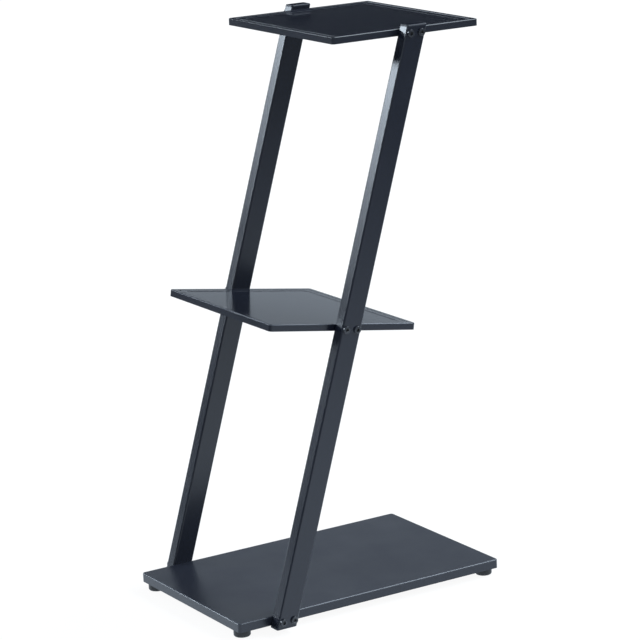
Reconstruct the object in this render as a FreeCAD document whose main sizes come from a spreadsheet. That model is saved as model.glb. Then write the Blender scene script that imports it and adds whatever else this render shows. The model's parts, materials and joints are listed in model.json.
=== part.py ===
"""Side table of powder-coated sheet steel, built as the pieces that come apart on a bench.

Two leaning rectangular tubes stand outside a folded base tray and carry two smaller shelves.
Every joint is a pair of flat-headed screws through the tube into a tapped strip behind the flange.
Millimetres, +Z up, front towards -Y, posts leaning towards +X.
The origin is on the floor, below the middle of the base tray.
"""
import FreeCAD, Part
import math
import os

import Sketcher
from FreeCAD import Placement, Rotation, Vector

doc = FreeCAD.newDocument("side_table")

# Driving sizes: a name, a value in millimetres or degrees, and what it measures.
SIZES = [
    ("table_height", 750, "floor to the top of the posts"),
    ("base_length", 400, "base tray along X"),
    ("shelf_length", 218, "middle and top shelf along X"),
    ("depth", 254, "all three trays along Y, between the posts"),
    ("base_flange", 12, "folded edge of the base tray"),
    ("shelf_flange", 9, "folded edge of the shelves"),
    ("base_steel", 1.2, "sheet thickness of the base tray"),
    ("shelf_steel", 1.0, "sheet thickness of the shelves"),
    ("corner_radius", 4, "upright corners of the trays, seen from above"),
    ("fold_radius", 1.3, "outside radius of the folded top edges"),
    ("rim_slope", 5, "width of the slope from a shelf's rim down to its floor"),
    ("floor_sink", 0.9, "how far a shelf's floor lies below its rim"),
    ("floor_corner", 7, "corner radius of a shelf's sunken floor, at the rim"),
    ("foot_height", 10, "floor to the lower edge of the base flange"),
    ("middle_height", 382.5, "floor to the middle of the middle shelf's rim plane"),
    ("post_proud", 6, "how far the posts stand above the top shelf's rim plane"),
    ("post_drop", 1.8, "how far the posts reach below the base tray's flange"),
    ("middle_tilt", 8.9, "degrees that the middle shelf's +X end hangs down"),
    ("top_shift", -1.9, "top shelf's middle from the posts' centre line, along X"),
    ("lean", 17.1, "degrees of the posts from upright, towards +X"),
    ("post_x", -136.5, "posts' centre line at the base tray's top"),
    ("post_width", 28, "tube width, square to its length"),
    ("post_depth", 18, "tube size along Y"),
    ("post_wall", 1.2, "tube wall"),
    ("post_corner", 2.4, "outside corner radius of the tube"),
    ("cap_thickness", 2.6, "plate welded on each end of a tube"),
    ("cap_round", 1.8, "rounded edge of the upper end plates"),
    ("cap_chamfer", 0.5, "chamfered edge of the lower end plates"),
    ("cap_lip", 1.5, "how far an end plate reaches into the tube"),
    ("cap_room", 0.15, "room between that lip and the tube"),
    ("screw_diameter", 5, "screw thread"),
    ("screw_end_room", 0.4, "how far a screw stops short of the inner face of its strip"),
    ("screw_spacing", 16, "between the two screws of a joint"),
    ("head_diameter", 9.5, "flat screw head"),
    ("head_height", 2.6, "flat screw head"),
    ("head_crown", 8, "flat face of the screw head, inside its bevel"),
    ("head_side", 1.9, "upright side of the screw head"),
    ("socket_width", 4, "hex socket across flats"),
    ("socket_depth", 1.6, "hex socket"),
    ("hole_room", 0.25, "room round a screw in the tube and the flange"),
    ("thread_room", 0.12, "room round a screw in its tapped hole"),
    ("strip_length", 32, "tapped strip behind the flange"),
    ("strip_lift", 1, "how far a strip stays above the lower edge of a shelf's flange"),
    ("strip_thickness", 2.4, "tapped strip"),
    ("strip_room", 0.2, "room between the strip and the slope of the shelf's floor"),
    ("foot_diameter", 22, "foot pad"),
    ("foot_room_x", 0.8, "room between a foot pad and the base tray's end flange"),
    ("foot_room_y", 3.8, "room between a foot pad and the base tray's front or rear flange"),
    ("foot_overlap", 0.8, "how far a foot pad reaches up inside the flange"),
    ("foot_edge", 2.5, "chamfer round the sole of a foot pad"),
    ("foot_shoulder", 1, "chamfer round the top of a foot pad"),
    ("stud_diameter", 8, "levelling stud"),
    ("stud_seat", 6, "stud length moulded into the foot pad"),
    ("seat_room", 0.15, "room round the stud in the foot pad"),
    ("stud_end_room", 0.4, "room above the stud when it is screwed right in"),
    ("stud_tip", 0.8, "chamfer at the stud's end"),
    ("nut_width", 14, "weld nut across flats"),
    ("nut_height", 6.5, "weld nut"),
    ("nut_room", 0.25, "room round the stud in the weld nut"),
]

# Sizes that follow from the ones above.
FITS = [
    ("base_top", "Sizes.foot_height + Sizes.base_flange"),
    ("top_height", "Sizes.table_height - Sizes.post_proud"),
    ("rise", "tan(Sizes.lean * 1deg)"),
    ("floor_slope", "atan(Sizes.rim_slope / Sizes.floor_sink)"),
    ("strip_height", "Sizes.shelf_flange - Sizes.shelf_steel - Sizes.strip_lift"),
    ("strip_inner", "Sizes.shelf_steel + Sizes.strip_thickness"),
    ("screw_length", "Sizes.post_depth + strip_inner - Sizes.screw_end_room"),
    ("base_drop", "Sizes.base_steel + strip_height / 2"),
    ("shelf_drop", "Sizes.shelf_steel + strip_height / 2"),
    ("base_z", "base_top - base_drop"),
    ("middle_z", "Sizes.middle_height - shelf_drop * cos(Sizes.middle_tilt * 1deg)"),
    ("top_z", "top_height - shelf_drop"),
    ("base_x", "Sizes.post_x + rise * (base_z - base_top)"),
    ("middle_x", "Sizes.post_x + rise * (middle_z - base_top)"),
    ("top_x", "Sizes.post_x + rise * (top_z - base_top)"),
    ("base_middle", "-base_x"),
    ("tube_bottom", "Sizes.foot_height - Sizes.post_drop + Sizes.cap_thickness"),
    ("tube_top", "Sizes.table_height - Sizes.cap_thickness"),
    ("tube_height", "tube_top - tube_bottom"),
    ("tube_bottom_x", "Sizes.post_x + rise * (tube_bottom - base_top)"),
    ("tube_top_x", "Sizes.post_x + rise * (tube_top - base_top)"),
    ("tube_width", "Sizes.post_width / cos(Sizes.lean * 1deg)"),
    ("bore_width", "(Sizes.post_width - 2 * Sizes.post_wall) / cos(Sizes.lean * 1deg)"),
    ("bore_depth", "Sizes.post_depth - 2 * Sizes.post_wall"),
    ("post_y", "Sizes.depth / 2 + Sizes.post_depth / 2"),
    ("rim_width", "strip_inner + Sizes.strip_room"),
    ("foot_inset", "Sizes.base_steel + Sizes.foot_diameter / 2"),
    ("foot_x", "Sizes.base_length / 2 - foot_inset - Sizes.foot_room_x"),
    ("foot_y", "Sizes.depth / 2 - foot_inset - Sizes.foot_room_y"),
    ("pad_height", "Sizes.foot_height + Sizes.foot_overlap"),
    ("stud_bottom", "pad_height - Sizes.stud_seat"),
    ("stud_top", "base_top - Sizes.base_steel - Sizes.stud_end_room"),
    ("nut_bottom", "base_top - Sizes.base_steel - Sizes.nut_height"),
]


def make_sheet(name, rows, formula):
    """A spreadsheet with one aliased cell for each row."""
    sheet = doc.addObject("Spreadsheet::Sheet", name)
    for line, row in enumerate(rows, 1):
        sheet.set(f"A{line}", row[0])
        sheet.set(f"B{line}", f"={row[1]}" if formula else str(row[1]))
        sheet.setAlias(f"B{line}", row[0])
        if len(row) > 2:
            sheet.set(f"C{line}", row[2])
    doc.recompute()
    return sheet


sizes = make_sheet("Sizes", SIZES, formula=False)
make_sheet("Fits", FITS, formula=True)


def value(expression):
    """The number that an expression on the sheets gives now."""
    return float(sizes.evalExpression(expression))


# Building blocks: bodies, sketches and features whose sizes are expressions on the sheets.
XY = "XY_Plane"
XZ = "XZ_Plane"
UP = Vector(0, 0, 1)
SAME_PLACE = 1e-4
parts = []


def new_body(label, x="0", y="0", z="0", turn="0", tilt="0"):
    """A sub-part, turned about Z and then tilted about Y, with its own label and place."""
    body = doc.addObject("PartDesign::Body", label)
    body.Label = label
    body.AllowCompound = True
    body.setExpression("Placement", f"placement(vector({x}; {y}; {z}); rotation({turn}; {tilt}; 0))")
    parts.append(body)
    return body


def new_sketch(body, plane, x="0", y="0", height="0", turn=None):
    """A sketch on one of the body's own planes, moved within the plane and along its normal."""
    sketch = body.newObject("Sketcher::SketchObject", "Sketch")
    origin_plane = next(o for o in body.Origin.OriginFeatures if o.Role == plane)
    sketch.AttachmentSupport = [(origin_plane, "")]
    sketch.MapMode = "FlatFace"
    sketch.AttachmentOffset = Placement(Vector(), Rotation(UP, 0))
    for axis, expression in zip("xyz", (x, y, height)):
        sketch.setExpression(f"AttachmentOffset.Base.{axis}", expression)
    if turn is not None:
        sketch.setExpression("AttachmentOffset.Rotation.Angle", turn)
    return sketch


def bind(sketch, expression, *constraint):
    """Adds a sized constraint to a sketch and ties it to the sheets."""
    index = sketch.addConstraint(Sketcher.Constraint(*constraint, value(expression)))
    sketch.setExpression(f"Constraints[{index}]", expression)


def draw_circle(sketch, diameter):
    """A circle about the sketch's origin."""
    circle = Part.Circle(Vector(), UP, value(diameter) / 2)
    index = sketch.addGeometry(circle)
    sketch.addConstraint(Sketcher.Constraint("Coincident", index, 3, -1, 1))
    bind(sketch, diameter, "Diameter", index)


def draw_pair(sketch, diameter, spacing):
    """Two equal circles, side by side about the sketch's origin."""
    half = value(spacing) / 2
    radius = value(diameter) / 2
    first = sketch.addGeometry(Part.Circle(Vector(-half, 0, 0), UP, radius))
    second = sketch.addGeometry(Part.Circle(Vector(half, 0, 0), UP, radius))
    sketch.addConstraint(Sketcher.Constraint("Symmetric", first, 3, second, 3, -1, 1))
    sketch.addConstraint(Sketcher.Constraint("PointOnObject", first, 3, -1))
    sketch.addConstraint(Sketcher.Constraint("Equal", first, second))
    bind(sketch, spacing, "DistanceX", first, 3, second, 3)
    bind(sketch, diameter, "Diameter", first)


def draw_rectangle(sketch, width, height, radius):
    """A rectangle with round corners about the sketch's origin."""
    a = value(width) / 2
    b = value(height) / 2
    r = value(radius)
    quarter = math.pi / 2
    starts = [(r - a, -b), (a, r - b), (a - r, b), (-a, b - r)]
    ends = [(a - r, -b), (a, b - r), (r - a, b), (-a, r - b)]
    corners = [(a - r, r - b), (a - r, b - r), (r - a, b - r), (r - a, r - b)]
    lines = []
    arcs = []
    for turn in range(4):
        line = Part.LineSegment(Vector(*starts[turn], 0), Vector(*ends[turn], 0))
        lines.append(sketch.addGeometry(line))
        circle = Part.Circle(Vector(*corners[turn], 0), UP, r)
        arc = Part.ArcOfCircle(circle, (turn - 1) * quarter, turn * quarter)
        arcs.append(sketch.addGeometry(arc))
    for turn in range(4):
        sketch.addConstraint(Sketcher.Constraint("Tangent", lines[turn], 2, arcs[turn], 1))
        sketch.addConstraint(Sketcher.Constraint("Tangent", arcs[turn], 2, lines[(turn + 1) % 4], 1))
        way = "Vertical" if turn % 2 else "Horizontal"
        sketch.addConstraint(Sketcher.Constraint(way, lines[turn]))
    for arc in arcs[1:]:
        sketch.addConstraint(Sketcher.Constraint("Equal", arcs[0], arc))
    sketch.addConstraint(Sketcher.Constraint("Symmetric", lines[0], 1, lines[2], 1, -1, 1))
    bind(sketch, width, "DistanceX", lines[3], 1, lines[1], 1)
    bind(sketch, height, "DistanceY", lines[0], 1, lines[2], 1)
    bind(sketch, radius, "Radius", arcs[0])


def draw_hexagon(sketch, across_flats):
    """A hexagon about the sketch's origin, with two flats upright."""
    flat = value(across_flats)
    tip = Vector(0, flat / 3 ** 0.5, 0)
    tips = [Rotation(UP, 60 * side).multVec(tip) for side in range(6)]
    ring = sketch.addGeometry(Part.Circle(Vector(), UP, tip.Length), True)
    sketch.addConstraint(Sketcher.Constraint("Coincident", ring, 3, -1, 1))
    lines = []
    for side in range(6):
        line = Part.LineSegment(tips[side], tips[(side + 1) % 6])
        lines.append(sketch.addGeometry(line))
    for side in range(6):
        sketch.addConstraint(Sketcher.Constraint("Coincident", lines[side], 2, lines[(side + 1) % 6], 1))
        sketch.addConstraint(Sketcher.Constraint("PointOnObject", lines[side], 1, ring))
    for line in lines[1:]:
        sketch.addConstraint(Sketcher.Constraint("Equal", lines[0], line))
    sketch.addConstraint(Sketcher.Constraint("PointOnObject", lines[0], 1, -2))
    bind(sketch, across_flats, "Distance", lines[1], 1, lines[4])


def draw_profile(sketch, points):
    """A closed outline through points, each an expression for its distance along X and along Y."""
    places = [Vector(value(x), value(y), 0) for x, y in points]
    count = len(places)
    lines = []
    for i in range(count):
        line = Part.LineSegment(places[i], places[(i + 1) % count])
        lines.append(sketch.addGeometry(line))
    for i in range(count):
        sketch.addConstraint(Sketcher.Constraint("Coincident", lines[i], 2, lines[(i + 1) % count], 1))
        for axis, way, place, expression in zip((-2, -1), ("DistanceX", "DistanceY"), places[i], points[i]):
            if abs(place) < SAME_PLACE:
                sketch.addConstraint(Sketcher.Constraint("PointOnObject", lines[i], 1, axis))
            elif place > 0:
                bind(sketch, expression, way, -1, 1, lines[i], 1)
            else:
                bind(sketch, f"-({expression})", way, lines[i], 1, -1, 1)


def draw_box(sketch, width, height):
    """A plain rectangle about the sketch's origin."""
    x = f"({width}) / 2"
    y = f"({height}) / 2"
    draw_profile(sketch, [(f"-{x}", f"-{y}"), (x, f"-{y}"), (x, y), (f"-{x}", y)])


def volume_of(body):
    """The volume of a body as it stands."""
    doc.recompute()
    return body.Shape.Volume


def add_pad(body, sketch, length, down=False, along=None, taper=None):
    """Raises a sketch into a solid, if asked along a leaning direction or with drawn-in sides."""
    pad = body.newObject("PartDesign::Pad", "Pad")
    pad.Profile = sketch
    pad.Reversed = down
    pad.setExpression("Length", length)
    if along is not None:
        pad.UseCustomVector = True
        pad.AlongSketchNormal = True
        pad.Direction = UP
        pad.setExpression("Direction.x", along)
    if taper is not None:
        pad.setExpression("TaperAngle", taper)
    doc.recompute()
    return pad


def add_pocket(body, sketch, length=None, up=False, taper=None):
    """Cuts a sketch into the body: to a depth, or right through both ways where none is given."""
    before = volume_of(body)
    pocket = body.newObject("PartDesign::Pocket", "Pocket")
    pocket.Profile = sketch
    pocket.Reversed = up
    if length is None:
        pocket.Type = "ThroughAll"
        pocket.SideType = "Symmetric"
    else:
        pocket.setExpression("Length", length)
    if taper is not None:
        pocket.setExpression("TaperAngle", taper)
    if volume_of(body) >= before:
        raise RuntimeError(f"a pocket cuts nothing in {body.Label}")
    return pocket


def add_revolution(body, sketch):
    """Turns a sketch about its own upright axis."""
    revolution = body.newObject("PartDesign::Revolution", "Revolution")
    revolution.Profile = sketch
    revolution.ReferenceAxis = (sketch, ["V_Axis"])
    revolution.Angle = 360
    doc.recompute()
    return revolution


def ease_edges(body, kind, size, chosen):
    """Rounds or chamfers the edges of the body's last feature that a test chooses."""
    base = body.Tip
    names = [f"Edge{i}" for i, edge in enumerate(base.Shape.Edges, 1) if chosen(edge)]
    if not names:
        raise RuntimeError(f"no edge to ease in {body.Label}")
    eased = body.newObject(f"PartDesign::{kind}", kind)
    eased.Base = (base, names)
    eased.setExpression("Radius" if kind == "Fillet" else "Size", size)
    doc.recompute()
    return eased


def add_pattern(body, features, axis, spacing, count):
    """Repeats features along one of the body's own axes."""
    pattern = body.newObject("PartDesign::LinearPattern", "Pattern")
    pattern.Originals = features
    axes = {o.Role: o for o in body.Origin.OriginFeatures}
    pattern.Direction = (axes[axis], [""])
    pattern.Mode = "Spacing"
    pattern.Occurrences = count
    pattern.setExpression("Offset", spacing)
    body.Tip = pattern
    doc.recompute()
    return pattern


def lies_at(edge, axis, place):
    """Whether an edge lies wholly at one height on an axis."""
    box = edge.BoundBox
    low = getattr(box, axis + "Min")
    high = getattr(box, axis + "Max")
    return abs(low - place) < SAME_PLACE and abs(high - place) < SAME_PLACE


# Trays: sheet folded down on all four sides, open below, drilled for the screws front and rear.
LEVELS = {
    "base": {"steel": "Sizes.base_steel", "drop": "Fits.base_drop", "tilt": "0"},
    "middle": {"steel": "Sizes.shelf_steel", "drop": "Fits.shelf_drop", "tilt": "Sizes.middle_tilt"},
    "top": {"steel": "Sizes.shelf_steel", "drop": "Fits.shelf_drop", "tilt": "0"},
}


def make_tray(label, level, length, flange, shift):
    """A tray whose own origin is midway between its screw holes, with its top face a drop above."""
    steel = LEVELS[level]["steel"]
    drop = LEVELS[level]["drop"]
    body = new_body(label, x=f"Fits.{level}_x", z=f"Fits.{level}_z", tilt=LEVELS[level]["tilt"])
    outline = new_sketch(body, XY, x=shift, height=f"{drop} - {flange}")
    draw_rectangle(outline, length, "Sizes.depth", "Sizes.corner_radius")
    add_pad(body, outline, flange)
    ease_edges(body, "Fillet", "Sizes.fold_radius", lambda edge: lies_at(edge, "Z", value(drop)))
    hollow = new_sketch(body, XY, x=shift, height=f"{drop} - {flange}")
    inner_length = f"{length} - 2 * {steel}"
    inner_depth = f"Sizes.depth - 2 * {steel}"
    draw_rectangle(hollow, inner_length, inner_depth, f"Sizes.corner_radius - {steel}")
    add_pocket(body, hollow, f"{flange} - {steel}", up=True)
    holes = new_sketch(body, XZ)
    draw_pair(holes, "Sizes.screw_diameter + 2 * Sizes.hole_room", "Sizes.screw_spacing")
    add_pocket(body, holes)
    return body


def sink_floor(body, shift):
    """Presses the floor of a shelf below its rim, with a slope all round and as much steel as before."""
    length = "Sizes.shelf_length - 2 * Fits.rim_width"
    depth = "Sizes.depth - 2 * Fits.rim_width"
    under = new_sketch(body, XY, x=shift, height="Fits.shelf_drop - Sizes.shelf_steel")
    draw_rectangle(under, length, depth, "Sizes.floor_corner")
    add_pad(body, under, "Sizes.floor_sink", down=True, taper="-Fits.floor_slope")
    above = new_sketch(body, XY, x=shift, height="Fits.shelf_drop")
    draw_rectangle(above, length, depth, "Sizes.floor_corner")
    add_pocket(body, above, "Sizes.floor_sink", taper="-Fits.floor_slope")


make_tray("base_tray", "base", "Sizes.base_length", "Sizes.base_flange", "Fits.base_middle")
for shelf_level, shelf_shift in (("middle", "0"), ("top", "Sizes.top_shift")):
    shelf_label = f"{shelf_level}_shelf"
    shelf = make_tray(shelf_label, shelf_level, "Sizes.shelf_length", "Sizes.shelf_flange", shelf_shift)
    sink_floor(shelf, shelf_shift)


# Posts: leaning tubes with level ends, drilled right through for the screws.
SIDES = {
    "front": {"sign": "-1", "turn": "0", "way": "1"},
    "rear": {"sign": "1", "turn": "180", "way": "-1"},
}


def make_post(side):
    """A leaning rectangular tube, with level ends and three pairs of screw holes."""
    body = new_body(f"{side}_post", y=f"{SIDES[side]['sign']} * Fits.post_y")
    section = new_sketch(body, XY, x="Fits.tube_bottom_x", height="Fits.tube_bottom")
    draw_rectangle(section, "Fits.tube_width", "Sizes.post_depth", "Sizes.post_corner")
    draw_box(section, "Fits.bore_width", "Fits.bore_depth")
    add_pad(body, section, "Fits.tube_height", along="Fits.rise")
    for level, choice in LEVELS.items():
        holes = new_sketch(body, XZ, x=f"Fits.{level}_x", y=f"Fits.{level}_z", turn=f"-({choice['tilt']})")
        draw_pair(holes, "Sizes.screw_diameter + 2 * Sizes.hole_room", "Sizes.screw_spacing")
        add_pocket(body, holes)
    return body


def make_cap(side, end):
    """A plate welded over a tube's level end, with a lip that centres it in the bore."""
    at_top = end == "top"
    y = f"{SIDES[side]['sign']} * Fits.post_y"
    body = new_body(f"{side}_post_{end}_cap", x=f"Fits.tube_{end}_x", y=y, z=f"Fits.tube_{end}")
    plate = new_sketch(body, XY)
    draw_rectangle(plate, "Fits.tube_width", "Sizes.post_depth", "Sizes.post_corner")
    add_pad(body, plate, "Sizes.cap_thickness", down=not at_top, along="Fits.rise")
    outer = value("Sizes.cap_thickness") * (1 if at_top else -1)
    kind = "Fillet" if at_top else "Chamfer"
    size = "Sizes.cap_round" if at_top else "Sizes.cap_chamfer"
    ease_edges(body, kind, size, lambda edge: lies_at(edge, "Z", outer))
    lip = new_sketch(body, XY)
    lip_width = "Fits.bore_width - 2 * Sizes.cap_room"
    lip_depth = "Fits.bore_depth - 2 * Sizes.cap_room"
    draw_box(lip, lip_width, lip_depth)
    add_pad(body, lip, "Sizes.cap_lip", down=at_top, along="Fits.rise")
    return body


for post_side in SIDES:
    make_post(post_side)
    for post_end in ("bottom", "top"):
        make_cap(post_side, post_end)


# Screws and tapped strips: a joint's own frame starts on the flange's outer face, with +Y inwards.
def joint_body(label, side, level):
    """A body in the frame of one joint."""
    choice = SIDES[side]
    y = f"{choice['sign']} * Sizes.depth / 2"
    tilt = f"{choice['way']} * {LEVELS[level]['tilt']}"
    return new_body(label, x=f"Fits.{level}_x", y=y, z=f"Fits.{level}_z", turn=choice["turn"], tilt=tilt)


def make_screws(side, level):
    """The two socket screws of a joint, their flat heads on the tube's outer face."""
    body = joint_body(f"{side}_{level}_screws", side, level)
    seat = "Sizes.post_depth"
    profile = new_sketch(body, XY, x="-Sizes.screw_spacing / 2", y=f"-{seat}")
    draw_profile(profile, [
        ("0", "-Sizes.head_height"),
        ("Sizes.head_crown / 2", "-Sizes.head_height"),
        ("Sizes.head_diameter / 2", "-Sizes.head_side"),
        ("Sizes.head_diameter / 2", "0"),
        ("Sizes.screw_diameter / 2", "0"),
        ("Sizes.screw_diameter / 2", "Fits.screw_length"),
        ("0", "Fits.screw_length")])
    turned = add_revolution(body, profile)
    socket = new_sketch(body, XZ, x="-Sizes.screw_spacing / 2", height=f"{seat} + Sizes.head_height")
    draw_hexagon(socket, "Sizes.socket_width")
    key = add_pocket(body, socket, "Sizes.socket_depth")
    add_pattern(body, [turned, key], "X_Axis", "Sizes.screw_spacing", 2)
    return body


def make_strip(side, level):
    """The strip behind the flange, with the two tapped holes that the screws go into."""
    body = joint_body(f"{side}_{level}_nut_strip", side, level)
    bar = new_sketch(body, XZ, height=f"-{LEVELS[level]['steel']}")
    draw_box(bar, "Sizes.strip_length", "Fits.strip_height")
    add_pad(body, bar, "Sizes.strip_thickness", down=True)
    holes = new_sketch(body, XZ)
    draw_pair(holes, "Sizes.screw_diameter + 2 * Sizes.thread_room", "Sizes.screw_spacing")
    add_pocket(body, holes)
    return body


for joint_level in LEVELS:
    for joint_side in SIDES:
        make_screws(joint_side, joint_level)
        make_strip(joint_side, joint_level)


# Feet: a moulded pad on a threaded stud, screwed into a nut welded under the base tray.
def make_foot(side, hand):
    """A foot pad with its blind seat, and the stud moulded into it."""
    x = f"{'-1' if hand == 'left' else '1'} * Fits.foot_x"
    y = f"{SIDES[side]['sign']} * Fits.foot_y"
    pad = new_body(f"{side}_{hand}_foot_pad", x=x, y=y)
    profile = new_sketch(pad, XZ)
    draw_profile(profile, [
        ("0", "0"),
        ("Sizes.foot_diameter / 2 - Sizes.foot_edge", "0"),
        ("Sizes.foot_diameter / 2", "Sizes.foot_edge"),
        ("Sizes.foot_diameter / 2", "Fits.pad_height - Sizes.foot_shoulder"),
        ("Sizes.foot_diameter / 2 - Sizes.foot_shoulder", "Fits.pad_height"),
        ("Sizes.stud_diameter / 2 + Sizes.seat_room", "Fits.pad_height"),
        ("Sizes.stud_diameter / 2 + Sizes.seat_room", "Fits.stud_bottom"),
        ("0", "Fits.stud_bottom")])
    add_revolution(pad, profile)
    stud = new_body(f"{side}_{hand}_foot_stud", x=x, y=y)
    profile = new_sketch(stud, XZ)
    draw_profile(profile, [
        ("0", "Fits.stud_bottom"),
        ("Sizes.stud_diameter / 2", "Fits.stud_bottom"),
        ("Sizes.stud_diameter / 2", "Fits.stud_top - Sizes.stud_tip"),
        ("Sizes.stud_diameter / 2 - Sizes.stud_tip", "Fits.stud_top"),
        ("0", "Fits.stud_top")])
    add_revolution(stud, profile)


def make_nuts():
    """The four weld nuts under the base tray, one above each foot."""
    body = new_body("foot_weld_nuts", z="Fits.nut_bottom")
    nuts = []
    for choice in SIDES.values():
        hexagon = new_sketch(body, XY, x="-Fits.foot_x", y=f"{choice['sign']} * Fits.foot_y")
        draw_hexagon(hexagon, "Sizes.nut_width")
        draw_circle(hexagon, "Sizes.stud_diameter + 2 * Sizes.nut_room")
        nuts.append(add_pad(body, hexagon, "Sizes.nut_height"))
    add_pattern(body, nuts, "X_Axis", "2 * Fits.foot_x", 2)


for foot_side in SIDES:
    for foot_hand in ("left", "right"):
        make_foot(foot_side, foot_hand)
make_nuts()


# Nothing is written unless every object and every solid is sound.
doc.recompute()
failed = [item.Label for item in doc.Objects if "Invalid" in item.State or "Error" in item.State]
unsound = [part.Label for part in parts if not part.Shape.Solids or not part.Shape.isValid()]
if failed or unsound:
    raise RuntimeError(f"failed objects {failed}, unsound shapes {unsound}")
os.makedirs("parts", exist_ok=True)
for part in parts:
    part.Shape.exportStep(f"parts/{part.Label}.step")
    print(f"{part.Label}: {len(part.Shape.Solids)} solid(s), {part.Shape.Volume:.0f} cubic mm")
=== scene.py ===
# %% [markdown]
# # A side table of folded steel
# The table stands 750 mm tall: a wide base tray, a tilted shelf and a small top, screwed between two
# leaning tubes. Its shape comes ready made from the measured model, one object for each piece of the
# real table. This lesson gives those pieces their finishes, models again the pieces whose details are
# too small for the measured model, and sets up the studio and the camera of the photograph.

# %% Load the table
import json
import math

import bmesh
import bpy
from mathutils import Matrix, Vector


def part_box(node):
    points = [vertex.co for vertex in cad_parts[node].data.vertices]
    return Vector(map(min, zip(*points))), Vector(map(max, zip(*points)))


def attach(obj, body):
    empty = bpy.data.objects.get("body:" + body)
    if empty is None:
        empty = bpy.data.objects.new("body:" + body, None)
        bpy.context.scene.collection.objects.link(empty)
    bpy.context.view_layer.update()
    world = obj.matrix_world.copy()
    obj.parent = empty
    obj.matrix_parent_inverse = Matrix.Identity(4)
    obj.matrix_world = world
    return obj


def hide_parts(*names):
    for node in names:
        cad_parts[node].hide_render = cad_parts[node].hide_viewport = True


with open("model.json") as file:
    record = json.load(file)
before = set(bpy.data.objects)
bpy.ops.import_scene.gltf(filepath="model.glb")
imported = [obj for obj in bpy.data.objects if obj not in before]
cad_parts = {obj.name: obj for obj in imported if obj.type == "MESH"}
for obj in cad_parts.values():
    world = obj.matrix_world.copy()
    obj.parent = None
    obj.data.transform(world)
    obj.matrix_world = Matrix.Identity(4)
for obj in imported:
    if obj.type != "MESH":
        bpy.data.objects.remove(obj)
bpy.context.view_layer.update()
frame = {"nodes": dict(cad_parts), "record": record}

MM = 0.001
nodes = frame["nodes"]

# %% [markdown]
# ## Camera
# The photograph was taken from nearly four metres away with a long lens, half a metre above the top
# shelf, so that the posts hardly converge. A camera's own axes are right, up and backwards, and they
# are worked out here from the compass direction it looks in, its slope and a small roll. Writing the
# three axes into a matrix keeps the roll exact, which a tracking constraint would not.

# %% Camera
CAMERA_PLACE = Vector((-1.8379, -3.0064, 1.2351))
CAMERA_YAW = math.radians(31.667)
CAMERA_PITCH = math.radians(-13.975)
CAMERA_ROLL = math.radians(-2.417)
CAMERA_REACH = 100
LENS_MM = 157.11
SENSOR_MM = 36

level_ahead = Vector((math.sin(CAMERA_YAW), math.cos(CAMERA_YAW), 0))
level_right = Vector((math.cos(CAMERA_YAW), -math.sin(CAMERA_YAW), 0))
ahead = level_ahead * math.cos(CAMERA_PITCH) + Vector((0, 0, math.sin(CAMERA_PITCH)))
steep_up = level_right.cross(ahead)
right = level_right * math.cos(CAMERA_ROLL) + steep_up * math.sin(CAMERA_ROLL)
up = steep_up * math.cos(CAMERA_ROLL) - level_right * math.sin(CAMERA_ROLL)
camera_turn = Matrix((right, up, -ahead)).transposed().to_4x4()

bpy.ops.object.select_all(action="DESELECT")
bpy.ops.object.camera_add()
camera = bpy.context.object
camera.matrix_world = Matrix.Translation(CAMERA_PLACE) @ camera_turn
camera.data.lens = LENS_MM
camera.data.sensor_fit = "HORIZONTAL"
camera.data.sensor_width = SENSOR_MM
camera.data.clip_end = CAMERA_REACH
bpy.context.scene.camera = camera
bpy.context.scene.view_settings.view_transform = "Standard"
print(f"camera {CAMERA_PLACE.length:.2f} m from the middle of the base")

# %% [markdown]
# ## Node helpers
# The finishes and the studio are all node trees, and a tree takes many lines of code. Four helpers
# keep them short: one gives an input a plain value or another node's output, one adds a node with its
# settings, and two stand for the nodes that are needed most, a sum and a change of range.

# %% Node helpers


def join(tree, socket, source):
    """Joins a socket to another node's output, or gives it a plain value."""
    if isinstance(source, bpy.types.NodeSocket):
        tree.links.new(source, socket)
    else:
        socket.default_value = source


def add_node(tree, kind, inputs, **settings):
    """A node with its settings, whose inputs are joined or set by name or by place."""
    node = tree.nodes.new(kind)
    for name, setting in settings.items():
        setattr(node, name, setting)
    for name, source in inputs.items():
        join(tree, node.inputs[name], source)
    return node


def calculate(tree, operation, *values, clamp=False):
    """The result of a sum on values or other nodes' outputs."""
    node = add_node(
        tree, "ShaderNodeMath", dict(enumerate(values)), operation=operation, use_clamp=clamp)
    return node.outputs[0]


def remap(tree, source, low, high, to_low, to_high, smooth=False):
    """A value moved from one range to another and held at its ends."""
    kind = "SMOOTHSTEP" if smooth else "LINEAR"
    ranges = {"Value": source, "From Min": low, "From Max": high, "To Min": to_low, "To Max": to_high}
    return add_node(tree, "ShaderNodeMapRange", ranges, interpolation_type=kind).outputs[0]


# %% [markdown]
# ## Floor
# The photograph's ground is plain white. A white floor that only the studio lights would need far more
# light than the dark table can bear, so the camera and reflections see a floor that glows by itself,
# and all other light meets an ordinary white floor. A share of what the camera sees still comes from
# that light, which keeps the table's soft shadow. In reflections the glow fades away from the table,
# as a pool of light does in a real studio: the low ends of the posts mirror the bright floor near
# them, and the high ends mirror the dim floor far away. From below the floor is clear, so that the
# underside of the table can be looked at.

# %% Floor paint
COOL = (0.86, 0.98, 1.11)
FLOOR_GLOW = 0.93
FLOOR_WHITE = 0.8
FLOOR_SHADOW_SHARE = 0.10
POOL_AHEAD = 0.3
POOL_LENGTH = 2.6
POOL_WIDTH = 1.7
POOL_FADE = (0.2, 2.2)
POOL_MIDDLE = 1.12
POOL_EDGE = 0.12


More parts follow.
